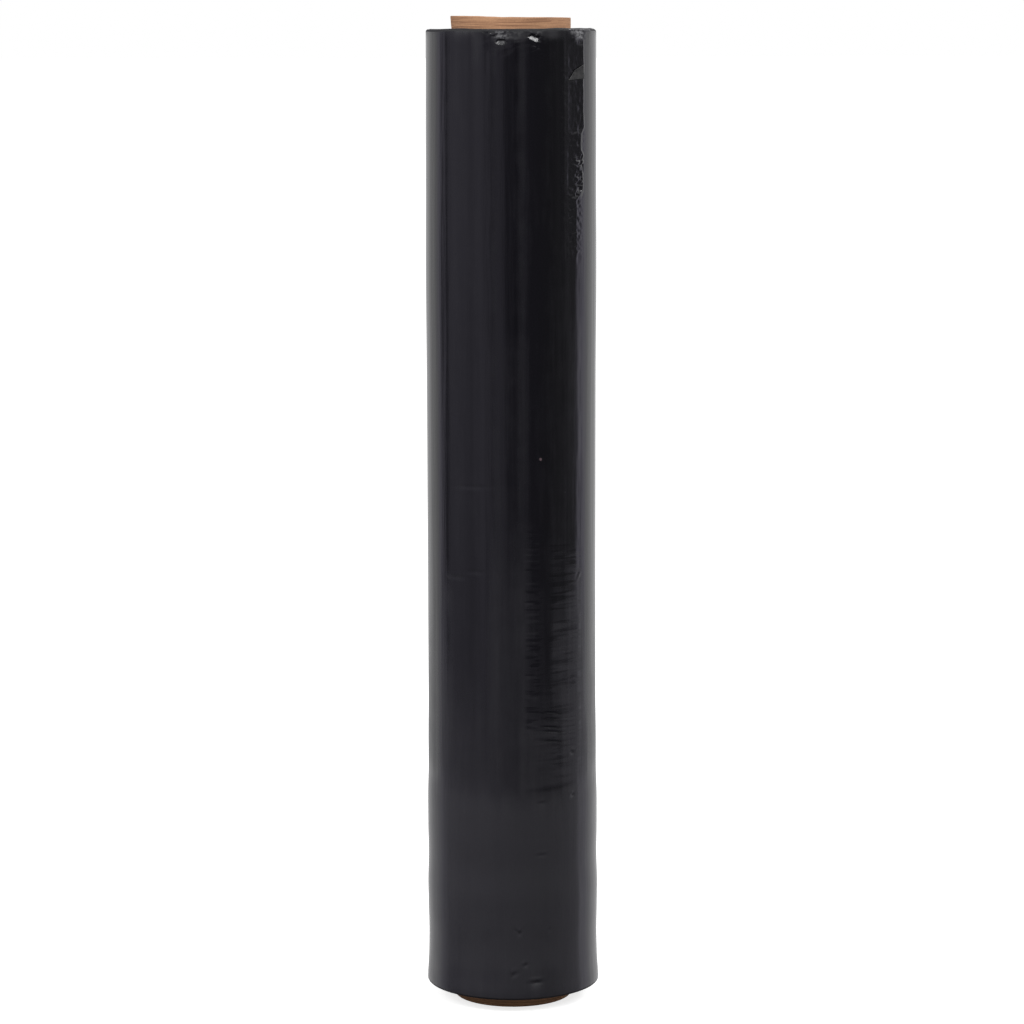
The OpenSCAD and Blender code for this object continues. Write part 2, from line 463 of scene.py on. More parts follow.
def tension_creases(turn, h):
    """Short creases low on the right of the front, and long faint ones."""
    relief = np.zeros_like(turn)
    for start, end, height, slope, width, depth in short_creases():
        relief -= depth * groove(turn, h, start, end, height, width, slope)
    for start, end, height, slope, haze in LONG_CREASES:
        relief -= 0.09 * MM * groove(turn, h, start, end, height * MM, 0.8 * MM, slope)
    return relief


def clouds(turn, h, across, up, seed):
    """Noise on the outer turn with features this long across and up, about -0.7 to 0.7."""
    x = np.radians(turn) * sizes().film_radius / across
    y = h / up
    found = np.empty_like(x)
    for i in range(len(x)):
        p = Vector((x[i], y[i], seed))
        found[i] = noise.noise(p) + 0.5 * noise.noise(p * 2.3)
    return found


def fill(mask, turn, h, *scale):
    """Clouds times a mask, worked out only where the mask is open."""
    relief = np.zeros_like(turn)
    spot = mask > 0.01
    relief[spot] = mask[spot] * clouds(turn[spot], h[spot], *scale)
    return relief


def tail_side(h):
    """How far the free edge wanders from its mean turn, in degrees."""
    return 0.9 * np.sin(h * 44.0 + 0.4) + 0.5 * np.sin(h * 131.0 + 1.0) + 0.3 * np.sin(h * 420.0)


def loose(h):
    """1 where the turn beside the free edge has come loose, high on the roll."""
    return ease((h - 380 * MM) / (16 * MM)) * ease((film_height() - 2 * MM - h) / (8 * MM))


def slack_end(h):
    """Turn at which the loose film ends."""
    wide = ease((h - SLACK_STEP * MM + 4 * MM) / (8 * MM))
    notch = 3.2 * window(h, 440 * MM, 447 * MM, 4 * MM)
    notch += 1.6 * window(h, 414 * MM, 434 * MM, 3 * MM)
    ragged = 0.25 * np.sin(h / (2.3 * MM)) + 0.25 * np.sin(h / (5.1 * MM) + 1.0)
    return SLACK[1] + (SLACK[2] - SLACK[1]) * wide - notch + ragged


def slack(turn, h):
    """The loose film lies flat there instead of round, and its end stands off a little."""
    end = slack_end(h)
    facing = SLACK[0] + SLACK_FACING * (end - SLACK[0])
    side = np.radians(np.clip(turn, SLACK[0], end) - facing)
    flat = np.cos(np.radians(facing - SLACK[0])) / np.cos(side) - 1.0
    fall = 0.8 + 1.4 * ease((SLACK[2] - end) / (SLACK[2] - SLACK[1]))
    return sizes().film_radius * flat * loose(h) * ease(1.0 - (turn - end) / fall)


def diagonals(mask, turn, h, long, wide, seed):
    """Noise drawn out up to the right."""
    radius = sizes().film_radius
    across = np.radians(turn) * radius
    along, beside = (across + h) / math.sqrt(2), (h - across) / math.sqrt(2)
    return fill(mask, np.degrees(along / radius), beside, long, wide, seed)


def tail_edge(turn, h):
    """The fall at the free edge, with the crinkles beside it."""
    side = around(turn, math.degrees(sizes().tail_turn)) - tail_side(h)
    fall = ease(side / 4.5) * (1.0 - ease((side - 4.5) / 10.0))
    near = window(side, -4.0, 6.0, 3.0) * (0.15 + 0.2 * loose(h))
    lumps = fill(near, turn, h, 2.6 * MM, 1.9 * MM, 0.0)
    relief = 0.11 * MM * np.maximum(lumps - 0.10, 0.0) - 0.11 * MM * np.maximum(-0.22 - lumps, 0.0)
    crushed = window(turn, 49.0, 56.0, 1.0) * window(h, 417 * MM, 437 * MM, 2 * MM)
    relief += 0.22 * MM * diagonals(crushed, turn, h, 4.0 * MM, 1.6 * MM, 4.0)
    for first, last, beside, low, high, fade, depth, across, up, seed in CRINKLES:
        patch = window(turn, first, last, beside) * window(h, low * MM, high * MM, fade * MM)
        relief += depth * MM * fill(patch, turn, h, across * MM, up * MM, seed)
    return relief - sizes().tail_step * fall * (1.0 - loose(h))


def crumple(turn, h):
    """Slight crumples round the big pinches of the upper edge."""
    near = window(around(turn, 0.0), -14.0, 20.0, 10.0) * ease((h - 482 * MM) / (12 * MM))
    near += window(around(turn, 54.0), -10.0, 12.0, 6.0) * ease((h - 484 * MM) / (10 * MM))
    fine = window(around(turn, -7.0), -6.0, 6.0, 4.0) * ease((h - 495 * MM) / (2 * MM))
    relief = 0.10 * MM * fill(near, turn, h, 4.2 * MM, 2.6 * MM, 5.0)
    return relief + 0.26 * MM * fill(fine, turn, h, 2.4 * MM, 1.8 * MM, 8.0)


def ripple_patch(turn, h):
    """Up to 1 on the low right of the front and behind, where the film lies in fine level ripples."""
    left = window(turn, 11.0, 16.0, 4.0) * window(h, 146 * MM, 236 * MM, 16 * MM)
    foot = 0.3 * window(turn, 19.0, 36.0, 5.0) * window(h, 124 * MM, 160 * MM, 12 * MM)
    right = 0.75 * window(turn, 30.0, 52.0, 6.0) * window(h, 122 * MM, 232 * MM, 12 * MM)
    behind = 0.5 * window(around(turn, 170.0), -22.0, 22.0, 12.0) * window(h, 150 * MM, 240 * MM, 30 * MM)
    return np.maximum.reduce([left, foot, right, behind])


def ripples(turn, h):
    return 0.018 * MM * fill(ripple_patch(turn, h), turn, h, 7.0 * MM, 1.2 * MM, 3.0)


def aslant(turn, h, centre, height, slant):
    """Distances along and across a mark that lies at a slant on the outer turn."""
    u = np.radians(around(turn, centre)) * sizes().film_radius
    v = h - height * MM
    return u * math.cos(slant) + v * math.sin(slant), v * math.cos(slant) - u * math.sin(slant)


def pinches(turn, h):
    """Small dents, each with a slight ridge above it."""
    relief = np.zeros_like(turn)
    for centre, height, long, wide, slant, depth in PINCHES:
        along, across = aslant(turn, h, centre, height, slant)
        wide = wide * MM
        dent = bell(across, 0.0, wide) - 0.45 * bell(across, 1.9 * wide, wide)
        relief -= depth * MM * bell(along, 0.0, long * MM) * dent
    return relief


def facets(turn, h):
    """Slopes that face up, each with a quick return above it."""
    relief = np.zeros_like(turn)
    for centre, height, long, wide, slant, depth in FACETS:
        along, across = aslant(turn, h, centre, height, slant)
        long, wide = long * MM, wide * MM
        narrowed = along * (1.0 + 1.4 * np.clip(across / wide, -0.5, 0.5) ** 2)
        near = window(narrowed, -0.3 * long, 0.3 * long, 0.35 * long)
        ramp = np.clip(across / wide + 0.5, 0.0, 1.0)
        relief -= depth * MM * near * ramp * ease(1.0 - (across - wide / 2) / (0.6 * wide))
    return relief


def rim_dent(turn, h):
    """The outer turns are pushed in at the big pinch of the upper edge."""
    return -0.55 * MM * bell(around(turn, -6.5), 0.0, 6.0) * ease((h - 484 * MM) / (14 * MM))


def film_relief(turn, h):
    """Everything that makes the outer turn depart from a plain round."""
    parts = [out_of_round, upright_ridges, tension_creases, slack, tail_edge]
    parts += [crumple, ripples, pinches, facets, rim_dent]
    return sum(part(turn, h) for part in parts)


def rim_rise(turn):
    """How far the upper edge stands above or below its mean height."""
    rng = random.Random(sizes().seed + 3)
    waves = RIM_WAVES + [(c, 9.0, rng.uniform(-0.4, 0.4)) for c in range(76, 300, 17)]
    return sum(height * MM * bell(around(turn, centre), 0.0, width) for centre, width, height in waves)


def low_haze(turn, h):
    """The even haze of the lower part of the roll; less just above the foot, a painted shade that darkens the
    foot, and less low on the left, so darker there.
    """
    # Painted shade: less haze, so darker, just above the foot; darker too low on the left
    darker_foot_and_left = 0.22 * ease((19 * MM - h) / (8 * MM))
    darker_foot_and_left += 0.22 * ease((55 * MM - h) / (28 * MM)) * window(turn, -60.0, -42.0, 10.0)
    return ease((129 * MM - h) / (34 * MM)) * (1.0 - darker_foot_and_left)


def film_haze(turn, h):
    """0 where the film is clear and glossy, 1 where it is hazy."""
    low = low_haze(turn, h)
    streaks = np.zeros_like(turn)
    for i, (centre, width, strength) in enumerate(HAZE_STREAKS):
        streaks += strength * bell(around(turn, centre + 0.5 * wave(0.0, h, i)), 0.0, width)
    bands = [
        strength * ease((border * MM - h) / (grow * MM)) * window(around(turn, 0.0), first, last, 6.0)
        for first, last, border, grow, strength in HAZE_BANDS
    ]
    behind = 0.4 * ease((230 * MM - h) / (90 * MM)) * window(around(turn, 180.0), -110.0, 110.0, 20.0)
    smudges = [
        strength * bell(around(turn, centre), 0.0, width) * ease((h - start * MM) / (grow * MM))
        for centre, width, start, grow, strength in SMUDGES
    ]
    bright = window(around(turn, 0.0), 46.0, 64.0, 4.0)
    rim = ease((h - film_height() + 2.2 * MM) / (0.9 * MM)) * (0.25 + 0.6 * bright)
    high = np.maximum.reduce([*bands, *smudges, behind, rim])
    haze = np.maximum(low, high + streaks * (1.0 - high))
    for start, end, height, slope, change in LONG_CREASES:
        haze += change * groove(turn, h, start, end, height * MM, 1.4 * MM, slope)
    for start, end, height, slope, width, depth in short_creases():
        haze -= 3.5 / MM * depth * groove(turn, h, start, end, height, 1.5 * width, slope)
    return np.clip(haze, 0.0, 1.0)


def radius_of(co):
    return math.hypot(co.x, co.y)


def turn_of(co):
    return math.degrees(math.atan2(co.x, -co.y))


def same_level(a, b):
    return abs(a.z - b.z) < SAME


def edges_where(bm, test):
    """The edges whose two ends pass the test."""
    return [e for e in bm.edges if test(e.verts[0].co, e.verts[1].co)]


def split(bm, test, cuts):
    bmesh.ops.subdivide_edges(bm, edges=edges_where(bm, test), cuts=cuts, use_grid_fill=True)


def refine(bm, first, last, low, high, up, across):
    """Splits the faces of the outer turn between two turns and two heights."""
    foot, skin = sizes().film_foot, sizes().film_radius - 0.3 * MM

    def inside(co):
        return radius_of(co) >= skin and first < turn_of(co) < last and low * MM < co.z - foot < high * MM

    upright = set()
    for face in bm.faces:
        if inside(face.calc_center_median()):
            for edge in face.edges:
                run = edge.verts[0].co - edge.verts[1].co
                if abs(run.z) > abs(run.x) + abs(run.y):
                    upright.add(edge)
    if up:
        bmesh.ops.subdivide_edges(bm, edges=list(upright), cuts=up, use_grid_fill=True)
    if across:
        split(bm, lambda a, b: same_level(a, b) and inside((a + b) / 2), across)


def spin_section(bm, section, steps):
    """Turns a closed section, given as (radius, height) corners, into a ring about the Z axis."""
    verts = [bm.verts.new((r, 0.0, z)) for r, z in section]
    edges = [bm.edges.new((a, b)) for a, b in zip(verts, verts[1:] + verts[:1])]
    bmesh.ops.spin(
        bm, geom=verts + edges, cent=(0, 0, 0), axis=(0, 0, 1), angle=math.tau, steps=steps, use_merge=True
    )
    bmesh.ops.remove_doubles(bm, verts=bm.verts, dist=1e-7)
    bmesh.ops.recalc_face_normals(bm, faces=bm.faces)


def round_edges(bm, edges, size, segments):
    bmesh.ops.bevel(
        bm, geom=edges, offset=size, offset_type="OFFSET", affect="EDGES",
        segments=segments, profile=0.5, material=-1, clamp_overlap=True,
    )


def add_object(name, data):
    thing = bpy.data.objects.new(name, data)
    bpy.context.scene.collection.objects.link(thing)
    return thing


def add_mesh(name, bm):
    """Puts a finished shape in the scene."""
    mesh = bpy.data.meshes.new(name)
    bm.to_mesh(mesh)
    bm.free()
    return add_object(name, mesh)


def finished_object(name, bm, materials, node):
    """A shaded mesh object that rides on the roll's body and stands for a node."""
    piece = add_mesh(name, bm)
    piece.data.shade_smooth()
    for material in materials:
        piece.data.materials.append(material)
    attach(piece, "root")
    if node:
        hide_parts(node)
    return piece


def new_material(name):
    material = bpy.data.materials.new(name)
    material.use_nodes = True
    return material, material.node_tree


def join(tree, node, **inputs):
    """Fills a node's inputs, by name or by number: with a value, or with a socket to link."""
    for key, value in inputs.items():
        target = node.inputs[int(key[1:])] if key[0] == "_" else node.inputs[key.replace("_", " ")]
        if isinstance(value, bpy.types.NodeSocket):
            tree.links.new(value, target)
        else:
            target.default_value = value


def put(tree, kind, settings=None, **inputs):
    """Adds a node, with its settings and its inputs."""
    node = tree.nodes.new(kind)
    for key, value in (settings or {}).items():
        setattr(node, key, value)
    join(tree, node, **inputs)
    return node


def math_node(tree, operation, a, b=0.0, c=0.0):
    return put(tree, "ShaderNodeMath", {"operation": operation}, _0=a, _1=b, _2=c).outputs[0]


def times(tree, a, b, plus=0.0):
    return math_node(tree, "MULTIPLY_ADD", a, b, plus)


def total(tree, first, *others):
    for other in others:
        first = math_node(tree, "ADD", first, other)
    return first


def vector_node(tree, operation, a, **inputs):
    return put(tree, "ShaderNodeVectorMath", {"operation": operation}, _0=a, **inputs)


def place_on(tree):
    """The place on the object that a pattern is read at."""
    return put(tree, "ShaderNodeTexCoord").outputs["Object"]


def from_axis(tree):
    """Distance from the roll's axis."""
    flat = vector_node(tree, "MULTIPLY", place_on(tree), _1=(1, 1, 0)).outputs[0]
    return vector_node(tree, "LENGTH", flat).outputs["Value"]


def between(tree, value, low, high, kind="SMOOTHSTEP"):
    """0 at low and 1 at high."""
    settings = {"interpolation_type": kind}
    node = put(tree, "ShaderNodeMapRange", settings, Value=value, From_Min=low, From_Max=high)
    return node.outputs["Result"]


def bumps(tree, height, strength, distance):
    node = put(tree, "ShaderNodeBump", Strength=strength, Distance=distance, Height=height)
    return node.outputs["Normal"]


def grain_group():
    """Noise drawn out by its own scale along each axis of the object, from 0 to 1."""
    group = bpy.data.node_groups.get("Drawn grain")
    if group:
        return group
    group = bpy.data.node_groups.new("Drawn grain", "ShaderNodeTree")
    for name in ("Across", "Up", "Detail", "Low", "High"):
        group.interface.new_socket(name, in_out="INPUT", socket_type="NodeSocketFloat")
    group.interface.new_socket("Grain", in_out="OUTPUT", socket_type="NodeSocketFloat")
    given = group.nodes.new("NodeGroupInput").outputs
    scale = put(group, "ShaderNodeCombineXYZ", X=given["Across"], Y=given["Across"], Z=given["Up"])
    drawn = vector_node(group, "MULTIPLY", place_on(group), _1=scale.outputs[0]).outputs[0]
    cloud = put(
        group, "ShaderNodeTexNoise", Vector=drawn, Scale=1.0, Detail=given["Detail"], Roughness=0.55
    ).outputs["Fac"]
    put(group, "NodeGroupOutput", Grain=between(group, cloud, given["Low"], given["High"]))
    return group


def grain(tree, across, up, detail=2.0, low=0.3, high=0.7):
    """A grain node with its features this many to the metre across and up."""
    settings = {"node_tree": grain_group()}
    node = put(tree, "ShaderNodeGroup", settings, Across=across, Up=up, Detail=detail, Low=low, High=high)
    return node.outputs["Grain"]


def mix_colour(tree, fac, a, b):
    a, b = (c if isinstance(c, bpy.types.NodeSocket) else (*c, 1.0) for c in (a, b))
    return put(tree, "ShaderNodeMix", {"data_type": "RGBA"}, _0=fac, _6=a, _7=b).outputs[2]


def round_patch(tree, turn, h, size):
    """1 inside a round patch of the outer turn, 0 outside it."""
    a = math.radians(turn)
    radius = sizes().film_radius
    centre = (radius * math.sin(a), -radius * math.cos(a), sizes().film_foot + h)
    away = vector_node(tree, "DISTANCE", place_on(tree), _1=centre).outputs["Value"]
    return between(tree, away, size, 0.35 * size, "LINEAR")


def wound_side_material():
    """The outer turn: black cling film, glossy, with upright streaks and a hazy foot."""
    material, tree = new_material("Black film, outer turn")
    haze, ripple, veil = (
        put(tree, "ShaderNodeAttribute", {"attribute_name": name}).outputs["Fac"]
        for name in ("haze", "ripple", "veil")
    )
    broad = grain(tree, 230, 14.0, 3.0)
    fine = grain(tree, 650, 40.0, 2.0, 0.35, 0.75)
    mottle = grain(tree, 130, 95, 3.0)
    light_dashes = times(tree, grain(tree, 70, 620, 0.0, 0.50, 0.68), 0.22)
    dark_dashes = times(tree, grain(tree, 60, 680, 0.0, 0.52, 0.66), 0.40)
    dashed = times(tree, ripple, math_node(tree, "SUBTRACT", light_dashes, dark_dashes))
    streaks = total(tree, times(tree, broad, 0.14, -0.07), times(tree, fine, 0.06, -0.03))
    streaks = total(tree, streaks, times(tree, mottle, 0.10, -0.05))
    cloudy = put(tree, "ShaderNodeClamp", Value=total(tree, haze, streaks, dashed)).outputs[0]
    colour = mix_colour(tree, cloudy, finish().film_clear, finish().film_hazy)
    speck = round_patch(tree, 19.5, 283 * MM, 1.0 * MM)
    colour = mix_colour(tree, speck, colour, (0.11, 0.075, 0.085))
    # Painted sheen: mottled lighter grey patches where the upper edge catches the light
    sheen_grain = grain(tree, 420, 620, 2.0, 0.42, 0.62)
    for turn, height, size, grey in SHEEN_PATCHES:
        sheen_patch = times(tree, round_patch(tree, turn, height * MM, size * MM), sheen_grain)
        colour = mix_colour(tree, sheen_patch, colour, (grey, grey, 1.05 * grey))
    gloss, dull = finish().film_gloss, finish().film_haze
    lumps = total(tree, times(tree, broad, 0.6), times(tree, fine, 0.25), times(tree, mottle, 0.25))
    lumps = total(tree, lumps, times(tree, dashed, 0.6))
    join(
        tree,
        tree.nodes["Principled BSDF"],
        Base_Color=colour,
        Roughness=times(tree, cloudy, dull - gloss, gloss),
        Normal=bumps(tree, lumps, 0.9, 0.05 * MM),
        IOR=1.5,
        Coat_Weight=veil,
        Coat_Roughness=0.2,
        Coat_IOR=1.22,
    )
    return material


def cut_turns_material():
    """The ends of the wound film, where the edges of the turns show as fine rings."""
    material, tree = new_material("Black film, cut turns")
    rings = {"noise_dimensions": "1D"}
    lines, broad = (
        put(
            tree, "ShaderNodeTexNoise", rings, W=from_axis(tree), Scale=scale, Detail=detail, Roughness=rough
        ).outputs["Fac"]
        for scale, detail, rough in ((5200.0, 3.0, 0.7), (700.0, 1.0, 0.5))
    )
    light = times(tree, times(tree, lines, broad), 1.3, -0.1)
    light = times(tree, light, times(tree, grain(tree, 60, 60, 2.0), 0.4, 0.7))
    join(
        tree,
        tree.nodes["Principled BSDF"],
        Base_Color=mix_colour(tree, light, (0.006, 0.006, 0.007), (0.035, 0.035, 0.038)),
        Roughness=times(tree, light, 0.25, 0.55),
        Specular_IOR_Level=0.3,
        Normal=bumps(tree, lines, 0.6, 0.08 * MM),
    )
    return material


def paperboard_material(cut):
    """Kraft paperboard, its fibres laid round the core, or its cut end with the edges of the plies."""
    material, tree = new_material("Paperboard, cut end" if cut else "Paperboard")
    fibres = grain(tree, 50, 1000, 3.0, 0.36, 0.64)
    speckle = grain(tree, 1500, 1500, 3.0, 0.35, 0.7)
    cloud = grain(tree, 22, 30, 2.0, 0.3, 0.7)
    dark_fibres = grain(tree, 42, 1500, 1.0, 0.56, 0.66)
    tone = times(tree, fibres, 0.45, times(tree, speckle, 0.3))
    tone = times(tree, dark_fibres, -0.9, times(tree, cloud, 0.25, tone))
    if cut:
        wave_on = math_node(tree, "SINE", times(tree, from_axis(tree), math.tau / (0.55 * MM)))
        plies = times(tree, wave_on, 0.5, 0.5)
        tone = times(tree, plies, 0.35, times(tree, tone, 0.7))
        height = times(tree, speckle, 0.8, plies)
    else:
        height = times(tree, speckle, 0.5, fibres)
    join(
        tree,
        tree.nodes["Principled BSDF"],
        Base_Color=mix_colour(tree, tone, finish().board_dark, finish().board),
        Roughness=0.85,
        Specular_IOR_Level=0.25,
        Normal=bumps(tree, height, 0.5, 0.12 * MM),
    )
    return material


class WRAPROLL_OT_film(bpy.types.Operator):
    """Models the wound film as one body, from the core out to the free edge"""

    bl_idname = "wrap_roll.wound_film"
    bl_label = "Wound film"

    def execute(self, context):
        s = sizes()
        bm = bmesh.new()
        foot, head, bore, rim = s.film_foot, s.film_head, s.film_bore, s.film_radius
        spin_section(bm, [(bore, foot), (rim, foot), (rim, head), (bore, head)], s.columns)
        rims = edges_where(bm, lambda a, b: same_level(a, b) and min(radius_of(a), radius_of(b)) > rim - SAME)
        round_edges(bm, rims, s.edge_round, 5)
        tall, wide = 0.5 * (head - foot), 0.7 * (rim - bore)
        split(bm, lambda a, b: abs(a.z - b.z) > tall and radius_of(a) > rim - SAME, s.rows)
        split(bm, lambda a, b: abs(radius_of(a) - radius_of(b)) > wide and same_level(a, b), s.rings)
        for patch in FINER:
            refine(bm, *patch)
        self.shape(bm)
        bmesh.ops.recalc_face_normals(bm, faces=bm.faces)
        lowest, highest = foot + 2.2 * MM, head - 1.9 * MM
        for face in bm.faces:
            centre = face.calc_center_median()
            glossy = any(first < turn_of(centre) < last for first, last in GLOSSY_RIMS)
            on_top = centre.z > highest and face.normal.z > (0.75 if glossy else 0.1)
            face.material_index = 1 if on_top or centre.z < lowest else 0
        piece = finished_object(
            "wound_film", bm, [wound_side_material(), cut_turns_material()], "film"
        )
        self.paint(piece.data)
        return {"FINISHED"}

    def shape(self, bm):
        """Moves the points of the round body to the wound film's true form."""
        s = sizes()
        co = np.array([v.co for v in bm.verts])
        radius = np.hypot(co[:, 0], co[:, 1])
        turn, h = places(co)
        share = np.clip((radius - s.film_bore) / (s.film_radius - s.film_bore), 0.0, 1.0)
        skin = radius > s.film_radius - s.edge_round * 1.01
        relief = np.zeros_like(radius)
        relief[skin] = film_relief(turn[skin], h[skin])
        edge = (radius - (s.film_radius - s.edge_round)) / s.edge_round
        new_radius = radius + gauge(h) * share + relief * np.clip(edge, 0.0, 1.0)
        rise = self.stagger(radius, turn, h) * np.clip(1.0 - edge, 0.0, 1.0) * (share > 0.001)
        upper = ease((h - film_height() + 14 * MM) / (14 * MM)) * ease((share - 0.62) / 0.3)
        rise += rim_rise(turn) * upper
        for i, v in enumerate(bm.verts):
            k = new_radius[i] / radius[i]
            v.co = (co[i, 0] * k, co[i, 1] * k, co[i, 2] + rise[i])

    def stagger(self, radius, turn, h):
        """How far each ring of turns stands in or out on the two ends."""
        s = sizes()
        rng = random.Random(s.seed + 5)
        ring = np.round((radius - s.film_bore) / (s.film_radius - s.film_bore) * (s.rings + 1)).astype(int)
        steps = np.array([rng.uniform(-1, 1) for _ in range(2 * (s.rings + 4))])
        top = h > film_height() / 2
        index = np.clip(ring, 0, s.rings + 3) + np.where(top, s.rings + 4, 0)
        a = np.radians(turn)
        sway = 0.35 * np.sin(a + ring * 0.9) + 0.25 * np.sin(2 * a + ring * 1.7)
        end = np.where(top, np.abs(h - film_height()), np.abs(h)) < SAME
        return s.turn_stagger * (steps[index] + sway) * end

    def paint(self, mesh):
        """Writes to the mesh how hazy and how rippled the film is, and where the even low haze lies, with its
        painted shade just above the foot.
        """
        co = np.zeros(len(mesh.vertices) * 3)
        mesh.vertices.foreach_get("co", co)
        turn, h = places(co.reshape(-1, 3))
        layers = {"haze": film_haze(turn, h), "veil": low_haze(turn, h), "ripple": ripple_patch(turn, h)}
        for name, values in layers.items():
            layer = mesh.attributes.new(name, "FLOAT", "POINT")
            layer.data.foreach_set("value", values.astype(np.float32))


class WRAPROLL_OT_corner(bpy.types.Operator):
    """Models the folded corner of the film's free edge"""

    bl_idname = "wrap_roll.folded_corner"
    bl_label = "Folded corner"

    def execute(self, context):
        s = sizes()
        bm = bmesh.new()
        low = film_height() - FOLD_DROP * MM
        bm.faces.new([bm.verts.new((x * MM, 0.0, low + z * MM)) for x, z in FOLD_OUTLINE])
        bmesh.ops.subdivide_edges(bm, edges=list(bm.edges), cuts=19, use_grid_fill=True)
        sheet = bmesh.ops.extrude_face_region(bm, geom=list(bm.faces))
        raised = {v for v in sheet["geom"] if isinstance(v, bmesh.types.BMVert)}
        facing = math.radians(SLACK[0] + SLACK_FACING * (SLACK[2] - SLACK[0]))
        inset = math.cos(facing - math.radians(SLACK[0]))
        for v in bm.verts:
            a = s.tail_turn + v.co.x / s.film_radius
            h = v.co.z
            buckle = 0.10 * MM * noise.noise(Vector((v.co.x / (4 * MM), h / (3 * MM), 7.0)))
            lift = FOLD_THICKNESS * MM * (v in raised) + 0.35 * (h - low) * 0.12 + buckle
            r = (s.film_radius * inset + float(gauge(np.array(h))) + lift) / math.cos(a - facing)
            v.co = (r * math.sin(a), -r * math.cos(a), s.film_foot + h)
        bmesh.ops.recalc_face_normals(bm, faces=bm.faces)
        finished_object("folded_corner", bm, [folded_film_material()], None)
        return {"FINISHED"}


def folded_film_material():
    """Film folded double, lighter than the film: a painted sheen where it stands off the roll, and darker and
    mottled above the fold, a painted shade.
    """
    material, tree = new_material("Black film, folded")
    # Painted sheen: a mottled grey lighter than the film's own black
    tone = grain(tree, 500, 400, 2.0)
    colour = mix_colour(tree, tone, (0.014, 0.014, 0.014), (0.029, 0.029, 0.028))
    height = put(tree, "ShaderNodeSeparateXYZ", Vector=place_on(tree)).outputs["Z"]
    fold = sizes().film_head - 22.2 * MM
    over = between(tree, height, fold, fold + 1.8 * MM, "LINEAR")
    # Painted shade: darker and mottled above the fold
    marks = times(tree, over, grain(tree, 380, 520, 2.0, 0.36, 0.6))
    join(
        tree,
        tree.nodes["Principled BSDF"],
        Base_Color=mix_colour(tree, marks, colour, (0.007, 0.007, 0.006)),
        Roughness=times(tree, tone, 0.15, 0.3),
    )
    return material


class WRAPROLL_OT_core(bpy.types.Operator):
    """Models the paperboard core"""

    bl_idname = "wrap_roll.paper_core"
    bl_label = "Paperboard core"

    def execute(self, context):
        bm = bmesh.new()
        outer = CORE_HIGH.x
        inner = frame["record"]["mounts"][0]["dims"]["r_mm"] * MM
        low, high = CORE_LOW.z, CORE_HIGH.z
        spin_section(bm, [(inner, low), (outer, low), (outer, high), (inner, high)], CORE_COLUMNS)
        mouths = edges_where(bm, lambda a, b: same_level(a, b) and abs(radius_of(a) - radius_of(b)) < SAME)
        round_edges(bm, mouths, sizes().core_chamfer, 3)
        tall, wide = 0.5 * (high - low), 0.6 * (outer - inner)
        split(bm, lambda a, b: abs(a.z - b.z) > tall, CORE_ROWS)
        split(bm, lambda a, b: same_level(a, b) and abs(radius_of(a) - radius_of(b)) > wide, CORE_RINGS)
        self.fray(bm, outer, low, high)
        bmesh.ops.recalc_face_normals(bm, faces=bm.faces)
        for face in bm.faces:
            face.material_index = 1 if abs(face.normal.z) > 0.7 else 0
        materials = [paperboard_material(False), paperboard_material(True)]
        finished_object("paperboard_core", bm, materials, "core")
        return {"FINISHED"}

    def fray(self, bm, outer, low, high):
        """Wears the cut ends a little: a wavy lip, and a slight spread where the saw left it."""
        reach = 7 * MM
        for v in bm.verts:
            r = radius_of(v.co)
            a = math.atan2(v.co.x, -v.co.y)
            top = 1.0 - min(1.0, (high - v.co.z) / reach)
            foot = 1.0 - min(1.0, (v.co.z - low) / reach)
            spread = 0.0
            left = max(0.0, -math.sin(a)) ** 2
            if r > outer - 1.5 * MM:
                spread = left * (0.30 * top - 0.35 * bell(v.co.z, high - 6.6 * MM, 3.0 * MM)) * MM
                spread += 0.08 * MM * noise.noise(Vector((a * 9, v.co.z * 300, 0.0))) * max(top, foot)
            rise = 0.0
            if top > 0.9:
                p = Vector((math.cos(a) * 3, math.sin(a) * 3, 4.0))
                rise = -0.25 * MM * max(0.0, noise.noise(p)) - 0.25 * MM * bell(math.degrees(a), 4.0, 26.0)
                rise -= 0.08 * MM * max(0.0, noise.noise(p * 6 + Vector((r * 900, 0, 0))))
                rise -= 0.5 * MM * math.sin(a) + 0.35 * MM * bell(math.degrees(a), -16.0, 12.0)
            k = (r + spread) / r
            v.co = (v.co.x * k, v.co.y * k, v.co.z + rise)


